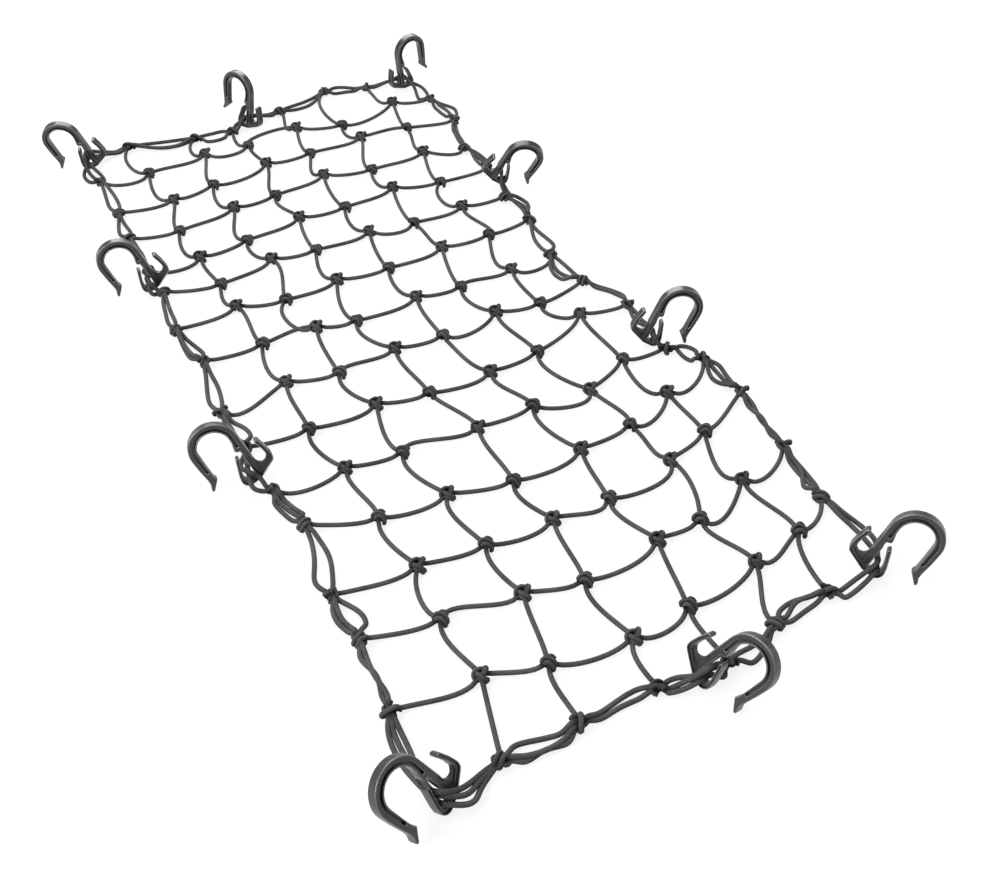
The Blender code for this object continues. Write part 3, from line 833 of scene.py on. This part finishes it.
def groove_outline():
    """The long groove round the crook, nearer the inside of its band."""
    left = CROOK_CENTRE[0] - GROOVE_RADIUS
    right = CROOK_CENTRE[0] + GROOVE_RADIUS - 0.2
    outer = arc(CROOK_CENTRE, GROOVE_RADIUS + GROOVE_HALF, 180, 0, steps=30)
    inner = arc(CROOK_CENTRE, GROOVE_RADIUS - GROOVE_HALF, 0, 180, steps=26)
    leg = [(right + GROOVE_HALF, 24.5), (right + 0.4, 22.8)]
    leg += [(right - 0.4, 22.8), (right - GROOVE_HALF, 24.5)]
    shank = [(left + GROOVE_HALF + 0.4, 28.8), (left - GROOVE_HALF + 0.6, 28.2)]
    return (outer + leg + inner + shank)[::-1]


def inset(outline, width, keep_count=False):
    """The outline moved inward by this width. Edges too short for it are dropped, or else kept."""
    points = [Vector(p) for p in outline]
    edges = [(a, (b - a).normalized()) for a, b in zip(points, points[1:] + points[:1])]
    while True:
        lines = [(a + Vector((-d.y, d.x)) * width, d) for a, d in edges]
        moved = []
        for (a, d), (b, e) in zip(lines[-1:] + lines[:-1], lines):
            turn = d.x * e.y - d.y * e.x
            if abs(turn) > NEARLY_STRAIGHT:
                moved.append(a + d * (((b - a).x * e.y - (b - a).y * e.x) / turn))
            else:
                moved.append(b)
        runs = zip(lines, moved, moved[1:] + moved[:1])
        short = [i for i, ((_, d), here, there) in enumerate(runs) if (there - here).dot(d) <= 0]
        if keep_count or not short:
            return [tuple(p) for p in moved]
        edges.pop(short[0])


def new_solid(name, rings):
    """A closed solid between rings of points, from the lowest to the highest."""
    count = len(rings[0])
    faces = [tuple(range(count))[::-1], tuple(range((len(rings) - 1) * count, len(rings) * count))]
    for ring in range(len(rings) - 1):
        for i in range(count):
            a, b = ring * count + i, ring * count + (i + 1) % count
            faces.append((a, b, b + count, a + count))
    mesh = bpy.data.meshes.new(name)
    mesh.from_pydata([Vector(point) * MM for ring in rings for point in ring], [], faces)
    return add_object(name, mesh)


def pocket_cutter(outline, depth, face):
    """Cuts a pocket into the face at this side, with its mouth eased all round."""
    half = HOOK_WIDTH / 2
    levels = [(outline, half - depth), (outline, half - MOUTH_EASE)]
    for clear in (0.0, CUTTER_CLEAR):
        levels.append((inset(outline, -MOUTH_EASE - clear, keep_count=True), half + clear))
    rings = [[(t, s, face * n) for t, s in ring] for ring, n in levels]
    return new_solid("hook_cutter", rings if face > 0 else rings[::-1])


def shouldered_blank():
    """The whole moulding with its long edges rounded over, before its grooves and pockets."""
    half = HOOK_WIDTH / 2
    rings = []
    for side in (-1, 1):
        for step in range(SHOULDER_STEPS + 1):
            turned = step if side > 0 else SHOULDER_STEPS - step
            angle = math.radians(90 / SHOULDER_STEPS * turned)
            ring = inset(hook_outline(), SHOULDER * (1 - math.cos(angle)), keep_count=True)
            height = side * (half - SHOULDER * (1 - math.sin(angle)))
            rings.append([(t, s, height) for t, s in ring])
    return new_solid("hook_blank", rings)


def moulded_hook():
    """The finished moulding. A mask marks its eased edges, where a pale highlight is painted."""
    blank = shouldered_blank()
    pockets = (
        (groove_outline(), GROOVE_DEPTH),
        (WEB_OUTLINE, WEB_DEPTH),
        (inset(hook_outline(foot_only=True), RIM), POCKET_DEPTH),
    )
    cutters = []
    for outline, depth in pockets:
        cutters += [pocket_cutter(outline, depth, face) for face in (-1, 1)]
    for cutter in cutters:
        cut = blank.modifiers.new("cut", "BOOLEAN")
        cut.operation = "DIFFERENCE"
        cut.solver = "EXACT"
        cut.object = cutter
    even = blank.modifiers.new("even shading", "WEIGHTED_NORMAL")
    even.keep_sharp = True
    blank.data.polygons.foreach_set("use_smooth", [True] * len(blank.data.polygons))
    graph = bpy.context.evaluated_depsgraph_get()
    mesh = bpy.data.meshes.new_from_object(blank.evaluated_get(graph))
    mesh.name = "hook_moulding"
    painted_highlight = mesh.attributes.new("painted_highlight", "FLOAT", "CORNER")
    # Eased edges, between the faces and the sides, take the painted highlight.
    for polygon in mesh.polygons:
        is_eased = EASED_FROM < abs(polygon.normal.z) < EASED_TO
        for corner in polygon.loop_indices:
            painted_highlight.data[corner].value = float(is_eased)
    for obj in cutters + [blank]:
        bpy.data.objects.remove(obj, do_unlink=True)
    return mesh


def hook_plastic():
    material, shader, nodes, links = new_material("black hook plastic", IOR=PLASTIC_IOR)
    handled = add_group(nodes, mottle, Scale=HANDLING_SCALE)
    colour = add_mix(nodes, A=PLASTIC_DARK, B=PLASTIC_PALE)
    links.new(handled.outputs["Tone"], colour.inputs["Factor"])
    # The painted highlight: eased edges mixed towards a pale colour.
    wear_and_painted_highlight = add_mix(nodes, B=PLASTIC_PAINTED_HIGHLIGHT)
    links.new(add_attribute(nodes, "painted_highlight"), wear_and_painted_highlight.inputs["Factor"])
    links.new(colour.outputs["Result"], wear_and_painted_highlight.inputs["A"])
    links.new(wear_and_painted_highlight.outputs["Result"], shader.inputs["Base Color"])
    gloss = nodes.new("ShaderNodeMapRange")
    set_inputs(gloss, To_Min=PLASTIC_ROUGHNESS[0], To_Max=PLASTIC_ROUGHNESS[1])
    links.new(handled.outputs["Tone"], gloss.inputs["Value"])
    links.new(gloss.outputs["Result"], shader.inputs["Roughness"])
    grain = add_group(nodes, mottle, Scale=GRAIN_SCALE)
    add_relief(nodes, links, shader, grain.outputs["Tone"], **GRAIN_RELIEF)
    return material


def hook_turn(hook):
    """Rotation of a hook: its flat moulding stood on edge, turned outward, tipped and leant."""
    outward, tip_up, lean = hook[4:]
    stand = Matrix.Rotation(math.radians(90 - lean), 3, "X")
    tilt = Matrix.Rotation(math.radians(tip_up - (90 - SHANK_SLOPE)), 3, "Z")
    return Matrix.Rotation(math.radians(outward), 3, "Z") @ stand @ tilt


def hook_origin(hook):
    """Foot of the shank, high enough for the hook to rest on the floor."""
    x, y = hook[2:4]
    turn = hook_turn(hook)
    half = HOOK_WIDTH / 2
    corners = [Vector((t, s, n)) for t, s in hook_outline() for n in (-half, half)]
    lowest = min((turn @ corner).z for corner in corners)
    return Vector((x - LAY_X, y - LAY_Y, -lowest))


hook_mesh = moulded_hook()
hook_mesh.materials.clear()
hook_mesh.materials.append(hook_plastic())
for number, hook in enumerate(HOOKS, 1):
    placed = hook_mesh.copy()
    placed.transform(Matrix.Translation(hook_origin(hook) * MM) @ hook_turn(hook).to_4x4())
    moulding = add_object(f"hook_moulding_{number:02d}", placed)
    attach(moulding, "root")
    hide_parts(f"hook_{number:02d}")

# ---- Border ------------------------------------------------------------------------------------
# Two or three cords, a little thicker than the netting's, run round the edge. They are knotted to
# each strand of the netting and go through the slot at the foot of each hook, with slack in loops.

BORDER_LIE = BORDER_CORD_RADIUS
BORDER_SPANS = {  # how far each cord lies outward of the straight line between its two knots
    # after knot, at a quarter, half and three quarters of the span
    "left": (
        (1, 1.7, 3.6, 5.1), (1, -4.3, -5.3, -4.7),
        (2, 3.1, 5.8, 6.5), (2, -0.4, -2.0, -3.8),
        (3, 1.5, 0.5, 1.5), (3, -2.4, -3.0, -1.8),
        (5, 3.4, 3.9, 4.6), (5, -0.4, -0.6, -1.9),
        (6, 2.3, 5.0, 6.6), (6, -2.2, -3.8, -5.4), (6, 1.8, 4.0, 4.2),
        (7, 2.2, 5.0, 6.8), (7, -2.2, -4.2, -3.4),
        (8, 2.5, 3.5, 4.5), (8, 0.5, 0.6, 1.0), (8, -3.2, -9.2, -10.0),
        (10, 5.7, 5.6, 4.4), (10, 1.9, 1.4, -1.6), (10, -1.9, -2.9, -5.2),
        (11, -0.4, 2.4, 8.0), (11, -6.3, -8.6, -5.4),
        (12, 4.6, 6.2, 3.2), (12, 1.4, 2.4, -0.4), (12, -6.0, -10.8, -10.4),
        (13, 4.2, -1.8, 1.0), (13, 0.2, 0.6, -2.4),
    ),
    "near": (
        (1, 7.2, 4.8, 8.6), (1, 4.4, 7.2, 5.4), (1, -6.4, -2.6, 0.6),
        (2, 3.0, 0.8, 1.2), (2, -0.6, -3.6, -5.6),
        (4, 10.2, 8.8, 5.0), (4, -1.2, 1.2, 1.6),
        (5, 3.4, 2.3, 1.8), (5, -7.8, -8.8, -5.0), (5, -1.0, -6.4, -3.4),
    ),
    "right": (
        (14, 4.0, 3.2, 2.0), (14, 0.4, -1.8, -2.2), (14, -6.0, 0.6, -0.4),
        (13, 2.3, -0.8, 3.0), (13, -1.8, 1.0, -2.2),
        (12, 2.4, 4.4, 7.8), (12, -1.6, -0.4, 1.0), (12, -4.4, -8.8, -4.0),
        (11, 9.0, 12.0, 10.0), (11, -5.0, -2.4, 5.0),
        (9, 10.8, 9.0, 4.6), (9, 7.2, 5.6, 1.0),
        (8, 1.5, 2.3, 2.9), (8, -5.0, -9.2, -5.4), (8, -12.6, -14.0, -9.2),
        (7, 9.8, 6.2, 1.6), (7, -3.8, -5.0, -2.2),
        (6, 7.0, 10.0, 7.4), (6, 3.2, 6.2, 4.2), (6, 5.0, 14.0, 14.6),
        (4, 8.6, 8.7, 8.0), (4, 4.8, 4.9, 4.4), (4, -0.5, 0.0, 2.0),
        (3, 2.0, -0.4, -0.4), (3, -1.8, -3.6, -4.4),
        (2, 11.0, 15.4, 8.6), (2, 4.4, 6.0, 4.0), (2, -1.4, -2.7, -2.4),
    ),
    "far": (
        (6, 6.0, 11.0, 12.0), (6, -1.0, -1.2, -3.3),
        (5, 0.6, 0.8, 4.0), (5, -5.5, -10.4, -6.0),
        (3, 9.0, 7.8, 7.4), (3, -6.4, -9.2, -7.4),
        (2, 5.8, 5.3, 6.0), (2, -6.6, -8.2, -0.6), (2, -9.4, -11.0, -3.8),
    ),
}
BORDER_STEPS = 5
SOFTENING = 5
KNOT_EDGE = 7.0  # from a knot's middle to where a cord enters it
KNOT_EDGE_SHARE = 0.5  # of how far outward the cord lies at the next quarter
KNOT_SPREAD = 4.0  # how far off its line a cord can enter a knot
KNOT_LIFT = 1.6
QUARTERS = (0.25, 0.5, 0.75)
SQUEEZE = 0.85  # how far one cord sinks into another it lies on
HOOKED_SPANS = {  # how far a cord that goes through a hook lies outward of its way there and back
    # after knot, at a quarter, half and three quarters of the way to the slot, then from it
    "left": (
        (4, 2.0, 2.0, 1.0, 5.5, 4.0, 2.0),
        (4, -1.5, -1.0, -0.5, 0.5, -0.6, -1.0),
        (9, 2.2, 4.4, 4.6, 5.0, 3.4, 2.0),
        (9, -1.6, 0.6, 0.6, -3.4, -2.4, -1.6),
        (14, 7.8, 8.2, 5.0, 8.6, 3.6, 0.6),
        (14, 3.9, 4.2, 2.4, 5.4, 2.2, -0.6),
        (14, -0.9, -0.8, 0.4, 2.4, 0.4, -2.0),
    ),
    "near": (
        (3, 3.2, 3.0, 2.0, 5.0, 4.0, 3.0),
        (3, -5.0, -5.0, -1.5, 0.0, 0.0, 0.0),
        (3, 1.0, 0.2, 0.8, 2.0, 2.0, 1.0),
        (6, 7.6, 6.0, 3.6, 12.6, 12.6, 7.8),
        (6, 1.6, 0.6, 0.2, 3.6, 4.8, 4.0),
    ),
    "right": (
        (10, 4.0, 3.4, 2.0, 5.0, 2.8, 3.6),
        (10, 0.0, 0.0, 0.0, -2.6, -3.2, -0.8),
        (5, 6.4, 4.0, 2.0, 3.0, 2.0, 1.0),
        (5, 2.2, 0.4, -1.0, -1.0, -1.0, 0.0),
        (1, 4.6, 7.4, 7.0, 5.0, 7.0, 5.0),
        (1, -7.6, -3.7, 0.6, 1.4, 3.2, 2.0),
    ),
    "far": (
        (4, 4.0, 5.0, 4.0, 4.0, 4.0, 2.0),
        (4, 0.4, 1.2, 0.6, 0.0, 0.0, 0.0),
        (1, 4.4, 4.0, 3.0, 8.0, 10.2, 8.4),
        (1, 0.0, 0.0, 0.0, -1.6, -4.4, -5.6),
        (1, 2.0, 2.0, 1.4, 3.6, 4.0, 1.4),
    ),
}
SLOT_CORDS = ((7.7, 3.3), (4.9, 8.0), (4.6, 12.2))  # places of the cords in a hook's slot
SLOT_RUN = 6.0
HOOKED_EDGE_SHARE = 0.6
HOOKED_LEAST = 6.5  # a place nearer its knot than this is left out
HOOKED_LOW = 0.2  # within this share of the way, a cord still lies on its knot's turns
HOOKED_CLIMB = 1.5  # the higher, the later a cord climbs to its slot


def turned_left(direction):
    return Vector((-direction.y, direction.x, 0.0)).normalized()


def border_stations():
    """Border knots in order round the net, counter-clockwise, each with its side and number."""
    stations = [("left", row, (row, 0)) for row in range(1, LAST_ROW)]
    stations += [("near", column, (LAST_ROW, column)) for column in range(1, LAST_COLUMN)]
    stations += [("right", row, (row, LAST_COLUMN)) for row in range(LAST_ROW - 1, 0, -1)]
    stations += [("far", column, (0, column)) for column in range(LAST_COLUMN - 1, 0, -1)]
    return stations


def span_cords(side, number):
    """The cords of a span: outward places and heights at its knots' edges and its quarters."""
    thickness = 2 * BORDER_CORD_RADIUS
    cords = []
    for outward in rows_of(BORDER_SPANS[side], number):
        edges = [place * KNOT_EDGE_SHARE for place in (outward[0], outward[-1])]
        first, last = [max(-KNOT_SPREAD, min(KNOT_SPREAD, edge)) for edge in edges]
        places = [first, *outward, last]
        heights = []
        for i, place in enumerate(places):
            height = BORDER_LIE + (KNOT_LIFT if i in (0, len(places) - 1) else 0.0)
            for other_places, other_heights in cords:
                apart = abs(other_places[i] - place)
                if apart < thickness:
                    above = math.sqrt(thickness**2 - apart**2) * SQUEEZE
                    height = max(height, other_heights[i] + above)
            heights.append(height)
        cords.append((places, heights))
    return cords


def hook_after(side, number):
    """The hook between this border knot and the next, if there is one."""
    for hook in HOOKS:
        if hook[:2] == (side, number):
            return hook
    return None


def slot_points(hook, cord):
    """The two ends of a cord's straight run through a hook's slot, in the order of the border."""
    turn = hook_turn(hook)
    origin = hook_origin(hook)
    t, s = SLOT_CORDS[cord]
    return [origin + turn @ Vector((t, s, n)) for n in (SLOT_RUN, -SLOT_RUN)]


# Turns of a border knot: along the border, outward from the net, and up.
BORDER_TURNS = {
    # thickness, then the places of each turn
    "two wraps": (
        (1.0, (-1.8, -2.8, 2.2), (-2.0, -4.2, 3.4), (-1.6, -2.6, 5.6), (-1.0, 0.4, 6.5),
         (-0.4, 3.2, 5.4), (0.0, 4.4, 3.4), (0.0, 3.0, 2.0)),
        (1.0, (3.0, -1.8, 2.6), (4.3, -0.4, 3.4), (3.6, 1.8, 4.0), (0.8, 2.2, 4.4),
         (-2.8, 2.0, 4.2), (-4.3, 0.4, 3.4), (-3.2, -1.8, 2.6)),
        (1.0, (1.2, -2.6, 2.2), (1.5, -3.8, 3.4), (1.9, -2.0, 5.6), (2.2, 0.8, 6.2),
         (2.6, 3.0, 5.0), (2.8, 4.0, 3.2), (2.6, 2.8, 2.0)),
    ),
    "ring and nub": (
        (1.0, (3.2, 3.0, 2.4), (4.4, 0.6, 3.4), (3.2, -2.0, 4.4), (0.2, -3.2, 4.8),
         (-3.0, -2.2, 4.4), (-4.4, 0.4, 3.4), (-3.4, 2.8, 2.4)),
        (1.0, (-3.0, 2.4, 3.4), (-1.0, 1.2, 5.2), (1.4, -0.2, 6.0), (3.4, -1.6, 5.2),
         (4.4, -3.2, 3.4)),
        (1.2, (0.4, 1.0, 5.2), (0.0, 3.0, 6.2), (-0.6, 5.0, 6.0)),
    ),
    "one wrap": (
        (1.1, (-3.4, -2.6, 2.2), (-3.2, -4.0, 3.6), (-1.8, -2.2, 5.6), (-0.2, 0.4, 6.6),
         (1.4, 2.8, 5.8), (2.6, 4.4, 3.6), (2.6, 3.6, 2.0)),
        (1.0, (3.4, -2.4, 2.4), (4.0, 0.2, 3.4), (1.6, 2.2, 3.6), (-2.4, 2.4, 3.6),
         (-4.0, 0.6, 3.0)),
        (1.1, (1.6, -1.0, 4.4), (2.6, -3.0, 5.0), (3.0, -4.8, 4.8)),
    ),
}
BORDER_KNOT_MIDDLE = Vector((0, 0, 3.4))
BORDER_CORE = (4.0, 3.5, 2.9)
BORDER_SEED = 12
BORDER_TWIST = 22
BORDER_KNOT_SIZES = (1.04, 1.18)


def add_border_knot(shape, place, along, rng):
    """A border knot of a random kind. Some are mirrored along the border."""
    kind = rng.choice(sorted(BORDER_TURNS))
    flip = rng.choice((-1, 1))
    twist = math.radians(rng.uniform(-BORDER_TWIST, BORDER_TWIST))
    turn = Matrix.Rotation(math.atan2(along.y, along.x) + twist, 3, "Z")
    size = rng.uniform(*BORDER_KNOT_SIZES)
    middle = place + BORDER_KNOT_MIDDLE
    add_ball(shape, middle, BORDER_CORE, turn)
    for thickness, *turn_points in BORDER_TURNS[kind]:
        points = [Vector((e * flip, -outward, up)) for e, outward, up in turn_points]
        points = [place + turn @ shaken(point, size, rng) for point in points]
        add_turn_of_knot(shape, points, BORDER_CORD_RADIUS * thickness, middle)


def softened(path, firm=()):
    """The same line with its kinks eased. Its ends and the points at these places stay."""
    for _ in range(SOFTENING):
        threes = zip(path, path[1:], path[2:])
        eased = [(before + 2 * here + after) / 4 for before, here, after in threes]
        middle = [path[i] if i in firm else point for i, point in enumerate(eased, 1)]
        path = [path[0], *middle, path[-1]]
    return path


def border_path(start, end, places, heights):
    """A border cord between two knots."""
    chord = end - start
    along = chord.normalized()
    outward = -turned_left(along)
    heart = Vector((0, 0, KNOT_HEART_HEIGHT))
    edge = KNOT_EDGE / chord.length
    points = [start + heart]
    for share, place, height in zip((edge, *QUARTERS, 1 - edge), places, heights):
        points.append(start + chord * share + outward * place + Vector((0, 0, height)))
    return softened(smooth_path(points + [end + heart], BORDER_STEPS))


def hooked_path(hook, cord, start, end, outward):
    """A border cord that climbs to a hook, goes through its slot and comes down again."""
    before, after = slot_points(hook, cord)
    heart = Vector((0, 0, KNOT_HEART_HEIGHT))
    halves = []
    for knot, slot, places in ((start, before, outward[:3]), (end, after, outward[:2:-1])):
        way = slot - knot
        aside = -turned_left(way if knot is start else -way)
        edge = KNOT_EDGE / way.length
        half = [knot + heart]
        for share, place in zip((edge, *QUARTERS), (places[0] * HOOKED_EDGE_SHARE, *places)):
            if share * way.length < HOOKED_LEAST:
                continue
            point = knot + way * share + aside * place
            lifted = BORDER_LIE + KNOT_LIFT * (share < HOOKED_LOW)
            point.z = max(lifted, slot.z * share**HOOKED_CLIMB)
            half.append(point)
        halves.append(half + [slot])
    slot_start = (len(halves[0]) - 1) * BORDER_STEPS
    path = smooth_path(halves[0] + halves[1][::-1], BORDER_STEPS)
    return softened(path, firm=range(slot_start, slot_start + BORDER_STEPS + 1))


border_shape = new_shape()
stations = border_stations()
border_rng = random.Random(BORDER_SEED)
for i, (side, number, at) in enumerate(stations):
    start = knot_place(*at)
    end = knot_place(*stations[(i + 1) % len(stations)][2])
    before = knot_place(*stations[i - 1][2])
    hook = hook_after(side, number)
    if hook:
        hooked = enumerate(rows_of(HOOKED_SPANS[side], number))
        paths = [hooked_path(hook, cord, start, end, outward) for cord, outward in hooked]
    else:
        paths = [border_path(start, end, *cord) for cord in span_cords(side, number)]
    for path in paths:
        shade = strand_shade((start, end))
        add_cord(border_shape, path, BORDER_CORD_RADIUS, CORD_SIDES, shade)
    add_border_knot(border_shape, start, (end - before).normalized(), border_rng)

border = shape_object("border_cords", border_shape, border_sleeve)
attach(border, "root")
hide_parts("border_cord")
